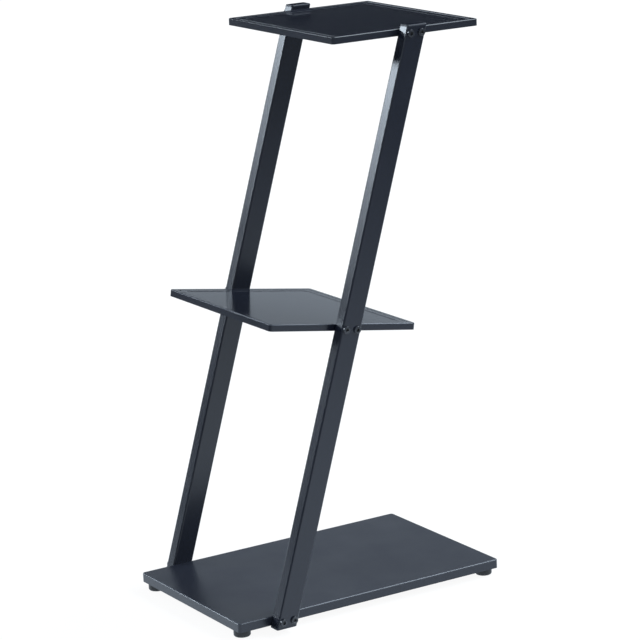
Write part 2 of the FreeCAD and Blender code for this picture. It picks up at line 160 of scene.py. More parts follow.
def find_pool(tree):
    """The level of the pool of light, which is longest along the camera's view."""
    place = tree.nodes.new("ShaderNodeTexCoord").outputs["Object"]
    turned = add_node(tree, "ShaderNodeMapping", {
        "Vector": place, "Location": level_ahead * POOL_AHEAD, "Rotation": (0, 0, -CAMERA_YAW),
        "Scale": (POOL_WIDTH, POOL_LENGTH, 1)}, vector_type="TEXTURE")
    reach = add_node(tree, "ShaderNodeVectorMath", {0: turned.outputs[0]}, operation="LENGTH")
    return remap(tree, reach.outputs["Value"], *POOL_FADE, POOL_MIDDLE, POOL_EDGE, smooth=True)


def make_floor_paint():
    """A paint that is white to the camera, a pool of light to reflections and clear from below."""
    material = bpy.data.materials.new("studio_floor")
    material.use_nodes = True
    tree = material.node_tree
    tree.nodes.clear()
    path = tree.nodes.new("ShaderNodeLightPath").outputs
    straight = calculate(tree, "ADD", path["Is Camera Ray"], path["Is Transmission Ray"])
    mirrored = path["Is Glossy Ray"]
    seen = calculate(tree, "ADD", straight, mirrored, clamp=True)
    white = remap(tree, seen, 0, 1, FLOOR_WHITE, FLOOR_SHADOW_SHARE)
    paint = add_node(tree, "ShaderNodeCombineColor", {0: white, 1: white, 2: white})
    matt = add_node(tree, "ShaderNodeBsdfDiffuse", {"Color": paint.outputs[0]})
    plain = add_node(tree, "ShaderNodeEmission", {
        "Strength": calculate(tree, "MULTIPLY", straight, FLOOR_GLOW)})
    pooled = add_node(tree, "ShaderNodeEmission", {
        "Color": (*COOL, 1), "Strength": calculate(tree, "MULTIPLY", mirrored, find_pool(tree))})
    glow = add_node(tree, "ShaderNodeAddShader", {0: plain.outputs[0], 1: pooled.outputs[0]})
    both = add_node(tree, "ShaderNodeAddShader", {0: matt.outputs[0], 1: glow.outputs[0]})
    clear = tree.nodes.new("ShaderNodeBsdfTransparent")
    below = tree.nodes.new("ShaderNodeNewGeometry").outputs["Backfacing"]
    surface = add_node(
        tree, "ShaderNodeMixShader", {0: below, 1: both.outputs[0], 2: clear.outputs[0]})
    add_node(tree, "ShaderNodeOutputMaterial", {"Surface": surface.outputs[0]})
    return material


# %% Floor
FLOOR_RADIUS = 9.0
FLOOR_SIDES = 128

bpy.ops.object.select_all(action="DESELECT")
bpy.ops.mesh.primitive_circle_add(vertices=FLOOR_SIDES, radius=FLOOR_RADIUS, fill_type="NGON")
floor = bpy.context.object
floor.name = "floor"
floor.data.materials.append(make_floor_paint())
print(f"floor {2 * FLOOR_RADIUS} m across")

# %% [markdown]
# ## Studio light
# A dark glossy coat shows the studio more than its own colour. Six things in it make the photograph's
# look: a pale strip low behind the table on the right, which the tilted shelf mirrors; a dark wall
# above it, which the top shelf mirrors; a bright band over the wall, which the base mirrors; a big soft
# light at the back on the left, which the narrow sides of the posts mirror; a pale room behind the
# camera; and an arch of light overhead, which draws a bright line along each folded edge, whichever
# way the fold's roundness is turned. Lamps could make them, but all are drawn in the sky, where ramps
# over a direction give them soft edges. The camera itself sees a plain white sky, so that the
# background stays white from every side.

# %% Sky helpers


def ramp(tree, source, stops):
    """A value that follows straight lines between stops, each a place and a level."""
    top = max(level for place, level in stops)
    low, high = stops[0][0], stops[-1][0]
    node = add_node(tree, "ShaderNodeValToRGB", {"Fac": remap(tree, source, low, high, 0, 1)})
    elements = node.color_ramp.elements
    while len(elements) < len(stops):
        elements.new(0.5)
    for element, (place, level) in zip(elements, stops):
        element.position = (place - low) / (high - low)
        element.color = (level / top, level / top, level / top, 1)
    return calculate(tree, "MULTIPLY", node.outputs["Color"], top)


def chain(tree, operation, first, *others):
    """The sum or product of several levels, taken one after the other."""
    result = first
    for other in others:
        result = calculate(tree, operation, result, other)
    return result


# %% [markdown]
# Each thing in the sky is a ramp over the height of a direction or over its way east, cut off by
# others: height 0 is the horizon, 1 is straight up, and the table's length runs from west to east.

# %% Sky
DOME_STOPS = [
    (-0.04, 0.05), (0.0, 0.42), (0.03, 0.24), (0.08, 0.0), (0.20, 0.0),
    (0.26, 0.95), (0.33, 0.95), (0.40, 0.10), (0.46, 0.10), (1.0, 0.40)]
STRIP_STOPS = [(0.015, 0.0), (0.045, 1.15), (0.062, 1.0), (0.084, 0.0)]
STRIP_SIDE_STOPS = [(-0.10, 0.0), (0.35, 1.0), (0.495, 1.08), (0.55, 0.88), (1.0, 0.88)]
LIGHT_STOPS = [(0.175, 0.0), (0.195, 23.0), (0.32, 23.0), (0.36, 10.0), (0.46, 10.0), (0.50, 0.0)]
LIGHT_BEARING = math.radians(-40)
LIGHT_WIDTH = (0.13, 0.21)
ROOM_LEVEL = 0.2
ROOM_SIDE = (-0.2, -0.6)
ARCH_STOPS = [(0.40, 0.0), (0.46, 7.0), (0.76, 7.0), (0.82, 0.0)]
ARCH_REACH = (0.15, 0.40)
ARCH_FOOT = (0.40, 0.55)


def sky_level(tree):
    """How bright the studio is in each direction."""
    way = tree.nodes.new("ShaderNodeTexCoord").outputs["Generated"]
    to_light = add_node(
        tree, "ShaderNodeVectorRotate", {"Vector": way, "Angle": LIGHT_BEARING}, rotation_type="Z_AXIS")
    east, north, height = add_node(tree, "ShaderNodeSeparateXYZ", {0: way}).outputs
    across, along, _ = add_node(tree, "ShaderNodeSeparateXYZ", {0: to_light.outputs[0]}).outputs
    dome = ramp(tree, height, DOME_STOPS)
    behind = calculate(tree, "GREATER_THAN", north, 0)
    on_right = ramp(tree, east, STRIP_SIDE_STOPS)
    strip = chain(tree, "MULTIPLY", ramp(tree, height, STRIP_STOPS), on_right, behind)
    near = remap(tree, calculate(tree, "ABSOLUTE", across), *LIGHT_WIDTH, 1, 0, smooth=True)
    facing = calculate(tree, "GREATER_THAN", along, 0)
    light = chain(tree, "MULTIPLY", ramp(tree, height, LIGHT_STOPS), near, facing)
    room = remap(tree, north, *ROOM_SIDE, 0, ROOM_LEVEL, smooth=True)
    overhead = remap(tree, height, *ARCH_FOOT, 0, 1)
    not_behind = remap(tree, north, *ARCH_REACH, 1, 0)
    arch = chain(tree, "MULTIPLY", ramp(tree, east, ARCH_STOPS), overhead, not_behind)
    return chain(tree, "ADD", dome, strip, light, room, arch)


def make_sky():
    """A world that shows the studio to the table and plain white to the camera."""
    world = bpy.data.worlds.new("studio")
    bpy.context.scene.world = world
    world.use_nodes = True
    tree = world.node_tree
    tree.nodes.clear()
    sky = add_node(tree, "ShaderNodeBackground", {"Color": (*COOL, 1), "Strength": sky_level(tree)})
    backdrop = add_node(tree, "ShaderNodeBackground", {"Color": (1, 1, 1, 1)})
    path = tree.nodes.new("ShaderNodeLightPath").outputs
    straight = calculate(tree, "ADD", path["Is Camera Ray"], path["Is Transmission Ray"], clamp=True)
    seen = add_node(
        tree, "ShaderNodeMixShader", {0: straight, 1: sky.outputs[0], 2: backdrop.outputs[0]})
    add_node(tree, "ShaderNodeOutputWorld", {"Surface": seen.outputs[0]})
    print(f"sky: {len(tree.nodes)} nodes")


make_sky()

# %% [markdown]
# ## Powder coat
# Powder paint melts on the steel and sets with a faint orange peel: shallow waves about two millimetres
# long. They are far too shallow to model, so a noise drives a bump, and a slower noise varies the gloss
# and the colour very slightly. The texture is a node group, because the screws and feet use it at
# other sizes.

# %% Skin texture
WAVE_DETAIL = 2
PATCH_DETAIL = 4


def make_skin_group():
    """Fine waves and slow patches on the surface, from their sizes in millimetres."""
    group = bpy.data.node_groups.new("skin_texture", "ShaderNodeTree")
    for name in ("Wave Size", "Patch Size"):
        group.interface.new_socket(name, in_out="INPUT", socket_type="NodeSocketFloat")
    for name in ("Waves", "Patches"):
        group.interface.new_socket(name, in_out="OUTPUT", socket_type="NodeSocketFloat")
    start = group.nodes.new("NodeGroupInput").outputs
    end = group.nodes.new("NodeGroupOutput").inputs
    place = group.nodes.new("ShaderNodeTexCoord").outputs["Object"]
    for result, size, detail in (
            ("Waves", "Wave Size", WAVE_DETAIL), ("Patches", "Patch Size", PATCH_DETAIL)):
        count = calculate(group, "DIVIDE", 1 / MM, start[size])
        noise = add_node(
            group, "ShaderNodeTexNoise", {"Vector": place, "Scale": count, "Detail": detail})
        join(group, end[result], noise.outputs["Fac"])
    print(f"{group.name}: {len(group.nodes)} nodes")
    return group


skin_texture = make_skin_group()

# %% [markdown]
# ## Folds with a painted highlight
# The folds of the trays are painted a little paler than the flats, as a painted highlight, and they get a
# lower roughness as well. A mask finds them by their place: on a fold a point is near the top of the tray
# and near its outline at once. Being a group, it serves all three trays, each with its own size.

# %% Fold highlight
FOLD_FADE = (0.7, 1.5)


def make_fold_highlight_group():
    """A mask of the upper folds of a tray, from a place measured from the middle of the tray's top."""
    group = bpy.data.node_groups.new("fold_highlight_and_gloss", "ShaderNodeTree")
    group.interface.new_socket("Place", in_out="INPUT", socket_type="NodeSocketVector")
    for name in ("Half Length", "Half Depth", "Fold Size"):
        group.interface.new_socket(name, in_out="INPUT", socket_type="NodeSocketFloat")
    group.interface.new_socket("Highlight And Gloss", in_out="OUTPUT", socket_type="NodeSocketFloat")
    start = group.nodes.new("NodeGroupInput").outputs
    end = group.nodes.new("NodeGroupOutput").inputs
    along, across, height = add_node(group, "ShaderNodeSeparateXYZ", {0: start["Place"]}).outputs
    from_end = calculate(
        group, "SUBTRACT", start["Half Length"], calculate(group, "ABSOLUTE", along))
    from_side = calculate(
        group, "SUBTRACT", start["Half Depth"], calculate(group, "ABSOLUTE", across))
    from_outline = calculate(group, "MINIMUM", from_end, from_side)
    from_top = calculate(group, "MULTIPLY", height, -1)
    from_fold = calculate(group, "MAXIMUM", from_outline, from_top)
    reach = calculate(group, "DIVIDE", from_fold, start["Fold Size"])
    join(group, end["Highlight And Gloss"], remap(group, reach, *FOLD_FADE, 1, 0, smooth=True))
    print(f"{group.name}: {len(group.nodes)} nodes")
    return group


fold_highlight_and_gloss = make_fold_highlight_group()

# %% [markdown]
# The mask needs each tray to lie level round the origin. A Mapping node of the Texture kind undoes the
# place and the turn that it is given, so the tilted shelf's coordinates come out level as well.

# %% Trays
# Length and flange of each tray
TRAY_SIZES = {"base_tray": (400, 12), "middle_shelf": (218, 9), "top_shelf": (218, 9)}
TRAY_DEPTH = 254
FOLD_SIZE = 1.3
MIDDLE_TILT = math.radians(8.9)


def tray_top(tray, tilt):
    """The middle of a tray's upper side."""
    tray_low, tray_high = (Vector(corner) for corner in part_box(tray))
    lift = Vector((math.sin(tilt), 0, math.cos(tilt))) * TRAY_SIZES[tray][1] / 2 * MM
    return (tray_low + tray_high) / 2 + lift


def find_fold(tree, tray, tilt):
    """The mask of a tray's folds, for a tray that is tilted along its length."""
    top = tray_top(tray, tilt)
    place = tree.nodes.new("ShaderNodeTexCoord").outputs["Object"]
    level = add_node(tree, "ShaderNodeMapping", {
        "Vector": place, "Location": top, "Rotation": (0, tilt, 0)}, vector_type="TEXTURE")
    mask = add_node(tree, "ShaderNodeGroup", {}, node_tree=fold_highlight_and_gloss)
    join(tree, mask.inputs["Place"], level.outputs[0])
    mask.inputs["Half Length"].default_value = TRAY_SIZES[tray][0] / 2 * MM
    mask.inputs["Half Depth"].default_value = TRAY_DEPTH / 2 * MM
    mask.inputs["Fold Size"].default_value = FOLD_SIZE * MM
    print(f"{tray}: top at {top / MM}")
    return mask.outputs["Highlight And Gloss"]


# %% [markdown]
# ## Finishes
# The trays, the tubes and their end plates have the same dark paint, at a gloss that differs a little
# from piece to piece, and the base tray's copy is painted a little lighter, as painted light. The screws
# are blackened steel whose sockets are painted near black, as painted shade; the studs are zinc plated
# and the feet are black plastic. One function makes all of these: the patches of the skin texture move
# the colour and the roughness between two values, and the waves drive the bump. A satin coat turns into a
# mirror when the eye comes down near the surface, which one roughness can't show, so Layer Weight
# changes it there.

# %% Finish maker
PATCH_RANGE = (0.3, 0.7)
LOW_VIEW = (0.70, 0.85)
FOLD_GLOSS = 0.15
# Paler colours along the upper folds of each tray: a painted highlight
PAINTED_HIGHLIGHT_COLOURS = {
    "base_tray": (0.050, 0.055, 0.068), "middle_shelf": (0.050, 0.055, 0.068),
    "top_shelf": (0.014, 0.016, 0.022)}

finishes = {}


def mix_colours(tree, share, plain, other):
    """A colour between two, each of them a plain colour or another node's output."""
    mix = add_node(tree, "ShaderNodeMix", {"Factor": share}, data_type="RGBA")
    join(tree, mix.inputs["A"], plain)
    join(tree, mix.inputs["B"], other)
    return mix.outputs["Result"]


def make_finish(name, colours, gloss, skin, metallic=0.0, low_gloss=None, tray=None, tilt=0.0):
    """Keeps a finish whose colour and roughness wander between two values, over a fine wave.

    Its skin is a wave size, a wave depth and a patch size in millimetres, and low_gloss is its
    roughness when seen from near the surface. A tray's own finish is painted paler along the folds, as a
    painted highlight, and is less rough there.
    """
    material = bpy.data.materials.new(name)
    material.use_nodes = True
    tree = material.node_tree
    wave_size, wave_depth, patch_size = skin
    texture = add_node(tree, "ShaderNodeGroup", {}, node_tree=skin_texture)
    texture.inputs["Wave Size"].default_value = wave_size
    texture.inputs["Patch Size"].default_value = patch_size
    patches = texture.outputs["Patches"]
    dark, light = ((*colour, 1) for colour in colours)
    colour = mix_colours(tree, patches, dark, light)
    rough = remap(tree, patches, *PATCH_RANGE, *gloss)
    # Along the folds the colour turns paler, a painted highlight, and the roughness drops
    if tray is not None:
        highlight_and_gloss = find_fold(tree, tray, tilt)
        colour = mix_colours(tree, highlight_and_gloss, colour, (*PAINTED_HIGHLIGHT_COLOURS[tray], 1))
        rough = remap(tree, highlight_and_gloss, 0, 1, rough, FOLD_GLOSS)
    if low_gloss is not None:
        facing = tree.nodes.new("ShaderNodeLayerWeight").outputs["Facing"]
        rough = remap(tree, facing, *LOW_VIEW, rough, low_gloss)
    bump = add_node(tree, "ShaderNodeBump", {
        "Height": texture.outputs["Waves"], "Distance": wave_depth * MM})
    surface = tree.nodes["Principled BSDF"]
    join(tree, surface.inputs["Base Color"], colour)
    join(tree, surface.inputs["Roughness"], rough)
    join(tree, surface.inputs["Normal"], bump.outputs["Normal"])
    surface.inputs["Metallic"].default_value = metallic
    finishes[name] = material


# %% Finishes
COAT_COLOURS = ((0.0078, 0.0100, 0.0178), (0.0094, 0.0118, 0.0210))
# The base tray's copy of the coat is painted lighter than the other pieces: painted light
BASE_PAINTED_LIGHT_COLOURS = ((0.0112, 0.0136, 0.0222), (0.0132, 0.0160, 0.0258))
SCREW_COLOURS = ((0.020, 0.022, 0.027), (0.030, 0.032, 0.039))
# Near-black colours for the socket walls: painted shade in the recess
SOCKET_SHADE_COLOURS = ((0.002, 0.002, 0.003), (0.004, 0.004, 0.005))
ZINC_COLOURS = ((0.52, 0.53, 0.54), (0.62, 0.62, 0.60))
PLASTIC_COLOURS = ((0.006, 0.006, 0.007), (0.010, 0.010, 0.011))
BRIGHT_COAT = (0.20, 0.24)
SATIN_COAT = (0.30, 0.36)
DULL_COAT = (0.45, 0.55)
COAT_SKIN = (2.2, 0.010, 60)
SCREW_SKIN = (0.8, 0.010, 6)
ZINC_SKIN = (0.6, 0.006, 4)
PLASTIC_SKIN = (0.5, 0.020, 9)

make_finish("powder_coat", COAT_COLOURS, BRIGHT_COAT, COAT_SKIN, low_gloss=0.10)
make_finish("end_coat", COAT_COLOURS, DULL_COAT, COAT_SKIN, low_gloss=0.10)
make_finish("base_coat", BASE_PAINTED_LIGHT_COLOURS, SATIN_COAT, COAT_SKIN, low_gloss=0.20, tray="base_tray")
make_finish(
    "middle_coat", COAT_COLOURS, BRIGHT_COAT, COAT_SKIN, low_gloss=0.16, tray="middle_shelf",
    tilt=MIDDLE_TILT)
make_finish("top_coat", COAT_COLOURS, SATIN_COAT, COAT_SKIN, low_gloss=0.115, tray="top_shelf")
make_finish("black_screw", SCREW_COLOURS, (0.13, 0.20), SCREW_SKIN)
make_finish("painted_socket_shade", SOCKET_SHADE_COLOURS, (0.30, 0.40), SCREW_SKIN)
make_finish("zinc_stud", ZINC_COLOURS, (0.28, 0.40), ZINC_SKIN, metallic=1.0)
make_finish("foot_plastic", PLASTIC_COLOURS, (0.45, 0.58), PLASTIC_SKIN)
print("finishes:", ", ".join(finishes))

# %% [markdown]
# The record of the measured model says what each piece is made of. The trays and the tubes' end plates
# have a coat of their own instead.

# %% Painting
TRAY_COATS = {"base_tray": "base_coat", "middle_shelf": "middle_coat", "top_shelf": "top_coat"}

for entry in frame["record"]["subparts"]:
    node = entry["node"]
    finish = "end_coat" if node.endswith("_cap") else TRAY_COATS.get(node, entry["material_slot"])
    nodes[node].data.materials.clear()
    nodes[node].data.materials.append(finishes[finish])

# %% [markdown]
# ## Round pieces
# The feet, the studs and the screws' threads are all round, so each starts as half of its outline: a
# line of points beside the vertical axis. The line is drawn as by hand, from one vertex that is
# extruded from place to place. Spinning it right round gives a plain round piece, and the seam where
# the spin ends is merged.

# %% Outlines
MERGE_REACH = 0.001 * MM
ROUND_STEPS = 64
CORNER_POINTS = 6


def select_only(*pieces):
    """Selects some objects and nothing else, the first of them active."""
    bpy.ops.object.select_all(action="DESELECT")
    for piece in pieces:
        piece.select_set(True)
    bpy.context.view_layer.objects.active = pieces[0]


def close_shell():
    """Merges the seams of the mesh in edit mode, turns its faces outwards and leaves edit mode."""
    bpy.ops.mesh.select_all(action="SELECT")
    bpy.ops.mesh.remove_doubles(threshold=MERGE_REACH)
    bpy.ops.mesh.normals_make_consistent(inside=False)
    bpy.ops.object.mode_set(mode="OBJECT")


def draw_outline(name, points):
    """A line through (radius, height) points in millimetres, left selected in edit mode."""
    bpy.ops.object.select_all(action="DESELECT")
    bpy.ops.mesh.primitive_plane_add(size=MM)
    outline = bpy.context.object
    outline.name = name
    bpy.ops.object.mode_set(mode="EDIT")
    bpy.ops.mesh.select_mode(type="VERT")
    bpy.ops.mesh.merge(type="CENTER")
    bpy.ops.transform.translate(value=(points[0][0] * MM, 0, points[0][1] * MM))
    for before, after in zip(points, points[1:]):
        step = ((after[0] - before[0]) * MM, 0, (after[1] - before[1]) * MM)
        bpy.ops.mesh.extrude_region_move(TRANSFORM_OT_translate={"value": step})
    bpy.ops.mesh.select_all(action="SELECT")
    return outline


def make_round(name, points):
    """A closed round piece, spun from its outline about the vertical axis."""
    piece = draw_outline(name, points)
    bpy.ops.mesh.spin(steps=ROUND_STEPS, angle=2 * math.pi, center=(0, 0, 0), axis=(0, 0, 1))
    close_shell()
    print(f"{name}: {len(piece.data.polygons)} faces")
    return piece


def rounded(corner, start, end, count=CORNER_POINTS):
    """Points on a rounded corner between two (radius, height) points, as part of an ellipse."""
    points = []
    for number in range(count + 1):
        turn = math.pi / 2 * number / count
        share, rest = math.sin(turn), 1 - math.cos(turn)
        points.append(tuple(a + (c - a) * share + (e - c) * rest for a, c, e in zip(start, corner, end)))
    return points


# %% [markdown]
# ## Threads
# A thread is one ridge wound round a core like a spring. It could be drawn as a stack of rings, but
# rings never climb. Here the outline is a single tooth, one pitch tall, and a Screw modifier winds it
# upwards; each turn starts where the last one ended, so the turns merge into one skin. Some turns are
# wound to spare at both ends, and two flat cuts with bisect take them off and close the rod.

# %% Threads
THREAD_STEPS = 32
TOOTH_DEPTH = 0.6134
TOOTH_FOOT = 1 / 4
TOOTH_CREST = (9 / 16, 11 / 16)
TURNS_BELOW = 2.3
TURNS_TO_SPARE = 4
CUT_REACH = MERGE_REACH / 10


def make_thread(name, diameter, pitch, bottom, top):
    """A threaded rod between two heights on the vertical axis, in millimetres."""
    crest = diameter / 2
    root = crest - TOOTH_DEPTH * pitch
    start = bottom - TURNS_BELOW * pitch
    tooth = draw_outline(name, [
        (root, start), (root, start + pitch * TOOTH_FOOT), (crest, start + pitch * TOOTH_CREST[0]),
        (crest, start + pitch * TOOTH_CREST[1]), (root, start + pitch)])
    bpy.ops.object.mode_set(mode="OBJECT")
    winding = tooth.modifiers.new("winding", "SCREW")
    winding.screw_offset = pitch * MM
    winding.iterations = math.ceil((top - bottom) / pitch) + TURNS_TO_SPARE
    winding.steps = winding.render_steps = THREAD_STEPS
    bpy.ops.object.modifier_apply(modifier=winding.name)
    bpy.ops.object.mode_set(mode="EDIT")
    bpy.ops.mesh.select_all(action="SELECT")
    bpy.ops.mesh.remove_doubles(threshold=MERGE_REACH)
    for height, below in ((bottom, True), (top, False)):
        bpy.ops.mesh.select_all(action="SELECT")
        bpy.ops.mesh.bisect(
            plane_co=(0, 0, height * MM), plane_no=(0, 0, 1), threshold=CUT_REACH,
            use_fill=True, clear_inner=below, clear_outer=not below)
    close_shell()
    print(f"{name}: {len(tooth.data.polygons)} faces")
    return tooth


# %% [markdown]
# ## Copies
# A piece that repeats is modelled once at the origin. Each copy gets its own mesh, is moved to its
# place and has that place applied, so that its object stays at the origin like the measured pieces. It
# then rides on the body that carries the plain piece it stands for.

# %% Copies


def copy_to(model, matrix):
    """A copy of a model with its own mesh, moved by a matrix that is applied to the mesh."""
    select_only(model)
    bpy.ops.object.duplicate()
    copy = bpy.context.object
    copy.matrix_world = matrix
    bpy.ops.object.transform_apply(location=True, rotation=True, scale=True)
    return copy


def hand_in(piece, name, node, body):
    """Names a finished piece and lets it stand for a measured piece on a body."""
    piece.name = piece.data.name = name
    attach(piece, body)
    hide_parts(node)


def dress(model, finish, degrees):
    """Gives a model its finish, with smooth shading wherever two faces meet at less than an angle."""
    model.data.materials.append(finishes[finish])
    select_only(model)
    bpy.ops.object.shade_smooth_by_angle(angle=math.radians(degrees))


# %% [markdown]
# ## Feet
# Each foot is a moulded pad on a threaded stud. The pad's mould leaves every edge round, and a shallow
# dish in the sole lets it stand on its rim. Both could be carved from cylinders, but they are turned
# shapes: the pad is spun from its outline, and the stud is a thread.

# %% Foot models
PAD_RADIUS = 11
PAD_HEIGHT = 10.8
DISH_DEPTH = 0.7
DISH_FLAT = 5.0
DISH_CORNER = 6.2
DISH_ROUND = (5.6, 6.4)
SOLE_RADIUS = 8.5
SOLE_EDGE = 2.5
SHOULDER = 1
SEAT_RADIUS = 4.15
SEAT_EASE = 0.5
SEAT_POINTS = 3
STUD_DIAMETER = 8
STUD_PITCH = 1.25
STUD_BOTTOM = 4.8
STUD_TOP = 20.4
PAD_SMOOTH = 35
THREAD_SMOOTH = 20

pad_model = make_round("pad_model", [
    (0, DISH_DEPTH), (DISH_FLAT, DISH_DEPTH),
    *rounded((DISH_CORNER, DISH_DEPTH), (DISH_ROUND[0], DISH_DEPTH), (DISH_ROUND[1], 0)),
    *rounded((PAD_RADIUS, 0), (SOLE_RADIUS, 0), (PAD_RADIUS, SOLE_EDGE)),
    *rounded(
        (PAD_RADIUS, PAD_HEIGHT), (PAD_RADIUS, PAD_HEIGHT - SHOULDER),
        (PAD_RADIUS - SHOULDER, PAD_HEIGHT)),
    *rounded(
        (SEAT_RADIUS, PAD_HEIGHT), (SEAT_RADIUS + SEAT_EASE, PAD_HEIGHT),
        (SEAT_RADIUS, PAD_HEIGHT - SEAT_EASE), count=SEAT_POINTS),
    (SEAT_RADIUS, STUD_BOTTOM), (0, STUD_BOTTOM)])
stud_model = make_thread("stud_model", STUD_DIAMETER, STUD_PITCH, STUD_BOTTOM, STUD_TOP)
dress(pad_model, "foot_plastic", PAD_SMOOTH)
dress(stud_model, "zinc_stud", THREAD_SMOOTH)

# %% [markdown]
# A foot stands where its measured pad does, and both pieces ride on the foot's own body, so that the
# stud moves with the pad when the foot is screwed out.

# %% Feet
for side in ("front", "rear"):
    for hand in ("left", "right"):
        foot = f"{side}_{hand}_foot"
        pad_low, pad_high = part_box(f"{foot}_pad")
        middle = (Vector(pad_low) + Vector(pad_high)) / 2
        stand = Matrix.Translation((middle.x, middle.y, pad_low[2]))
        hand_in(copy_to(pad_model, stand), f"{foot}_moulded_pad", f"{foot}_pad", foot)
        hand_in(copy_to(stud_model, stand), f"{foot}_threaded_stud", f"{foot}_stud", foot)
        print(f"{foot} at {middle.x / MM:.1f}, {middle.y / MM:.1f}")
bpy.data.objects.remove(pad_model)
bpy.data.objects.remove(stud_model)

# %% [markdown]
# ## Screws
# Two socket screws hold each joint. A head is a short cylinder whose upper rim is bevelled round and
# whose lower rim is eased. The hexagon socket could be inset and pushed down, but a boolean with a
# six-sided cutter gives more in one cut: the cutter's mouth widens, which chamfers the socket, and its
# end narrows like a drill's point.

# %% Heads and sockets
HEAD_RADIUS = 4.75
HEAD_HEIGHT = 2.6
HEAD_ROUND = 0.72
HEAD_ROUND_STEPS = 6
HEAD_EASE = 0.15
HEAD_EASE_STEPS = 2
SOCKET_SIDES = 6
SOCKET_WIDTH = 4
SOCKET_DEPTH = 2.0
SOCKET_MOUTH = 0.25
SOCKET_POINT = 0.3
SOCKET_POINT_SHARE = 0.3
END_FACING = 0.99


def bevel_rim(piece, height, width, segments):
    """Bevels the edges that lie at one height of the piece in edit mode."""
    mesh = bmesh.from_edit_mesh(piece.data)
    bpy.ops.mesh.select_all(action="DESELECT")
    for edge in mesh.edges:
        edge.select = all(abs(corner.co.z - height * MM) < MERGE_REACH for corner in edge.verts)
    bmesh.update_edit_mesh(piece.data)
    bpy.ops.mesh.bevel(offset=width * MM, segments=segments, affect="EDGES")


def end_face(piece, way):
    """Selects the one flat end of the piece in edit mode that faces up or down."""
    mesh = bmesh.from_edit_mesh(piece.data)
    bpy.ops.mesh.select_all(action="DESELECT")
    for face in mesh.faces:
        face.select = face.normal.z * way > END_FACING
    bmesh.update_edit_mesh(piece.data)


def make_head():
    """A screw head that stands on height nought."""
    bpy.ops.object.select_all(action="DESELECT")
    bpy.ops.mesh.primitive_cylinder_add(
        vertices=ROUND_STEPS, radius=HEAD_RADIUS * MM, depth=HEAD_HEIGHT * MM,
        location=(0, 0, HEAD_HEIGHT / 2 * MM))
    head = bpy.context.object
    bpy.ops.object.transform_apply(location=True)
    bpy.ops.object.mode_set(mode="EDIT")
    bpy.ops.mesh.select_mode(type="EDGE")
    bevel_rim(head, HEAD_HEIGHT, HEAD_ROUND, HEAD_ROUND_STEPS)
    bevel_rim(head, 0, HEAD_EASE, HEAD_EASE_STEPS)
    bpy.ops.object.mode_set(mode="OBJECT")
    return head


def make_socket_cutter():
    """A six-sided cutter as deep as the socket, wider at its mouth and pointed at its end."""
    straight = SOCKET_DEPTH - SOCKET_MOUTH
    middle = HEAD_HEIGHT - SOCKET_DEPTH + straight / 2
    corner = SOCKET_WIDTH / 2 / math.cos(math.pi / SOCKET_SIDES)
    widening = 1 + 4 * SOCKET_MOUTH / SOCKET_WIDTH
    bpy.ops.object.select_all(action="DESELECT")
    bpy.ops.mesh.primitive_cylinder_add(
        vertices=SOCKET_SIDES, radius=corner * MM, depth=straight * MM, location=(0, 0, middle * MM))
    cutter = bpy.context.object
    bpy.ops.object.transform_apply(location=True)
    bpy.ops.object.mode_set(mode="EDIT")
    bpy.ops.mesh.select_mode(type="FACE")
    for way, step, share in ((1, 2 * SOCKET_MOUTH, widening), (-1, SOCKET_POINT, SOCKET_POINT_SHARE)):
        end_face(cutter, way)
        bpy.ops.mesh.extrude_region_move(TRANSFORM_OT_translate={"value": (0, 0, way * step * MM)})
        bpy.ops.transform.resize(value=(share, share, 1))
    bpy.ops.object.mode_set(mode="OBJECT")
    return cutter


# %% [markdown]
# The shank is a thread that reaches a little way into the head, so that the union has no two faces in
# one plane. The walls of the socket are painted darker than the head, as painted shade, and they get
# that finish by their place in the head.

# %% Screw model
SCREW_DIAMETER = 5
SCREW_PITCH = 0.8
SCREW_LENGTH = 21
SHANK_ROOT = 0.2


def combine(piece, other, operation):
    """Adds or cuts away another solid, which is used up."""
    change = piece.modifiers.new("change", "BOOLEAN")
    change.operation = operation
    change.object = other
    select_only(piece)
    bpy.ops.object.modifier_apply(modifier=change.name)
    bpy.data.objects.remove(other)


def paint_socket_shade(screw):
    """Paints the walls and the end of the socket darker, as painted shade."""
    screw.data.materials.append(finishes["painted_socket_shade"])
    select_only(screw)
    bpy.ops.object.mode_set(mode="EDIT")
    bpy.ops.mesh.select_all(action="DESELECT")
    mesh = bmesh.from_edit_mesh(screw.data)
    reach = SOCKET_WIDTH / 2 * MM
    for face in mesh.faces:
        middle = face.calc_center_median()
        in_head = SHANK_ROOT * MM < middle.z < (HEAD_HEIGHT - SOCKET_MOUTH) * MM
        face.select = in_head and math.hypot(middle.x, middle.y) < reach + MERGE_REACH
    bmesh.update_edit_mesh(screw.data)
    screw.active_material_index = 1
    bpy.ops.object.material_slot_assign()
    bpy.ops.object.mode_set(mode="OBJECT")


screw_model = make_head()
combine(screw_model, make_socket_cutter(), "DIFFERENCE")
shank = make_thread("shank", SCREW_DIAMETER, SCREW_PITCH, -SCREW_LENGTH, SHANK_ROOT)
combine(screw_model, shank, "UNION")
dress(screw_model, "black_screw", THREAD_SMOOTH)
paint_socket_shade(screw_model)
print(f"screw: {len(screw_model.data.polygons)} faces")

# %% [markdown]
# Each pair lies along its shelf, so the middle pairs are tilted with the tilted shelf. Real screws stop
# turning wherever they grow tight, so every socket is turned to another angle.

# %% Screw pairs
SCREW_SPACING = 16
JOINT_TILTS = {"base": 0.0, "middle": MIDDLE_TILT, "top": 0.0}
SOCKET_STEP = math.radians(77)

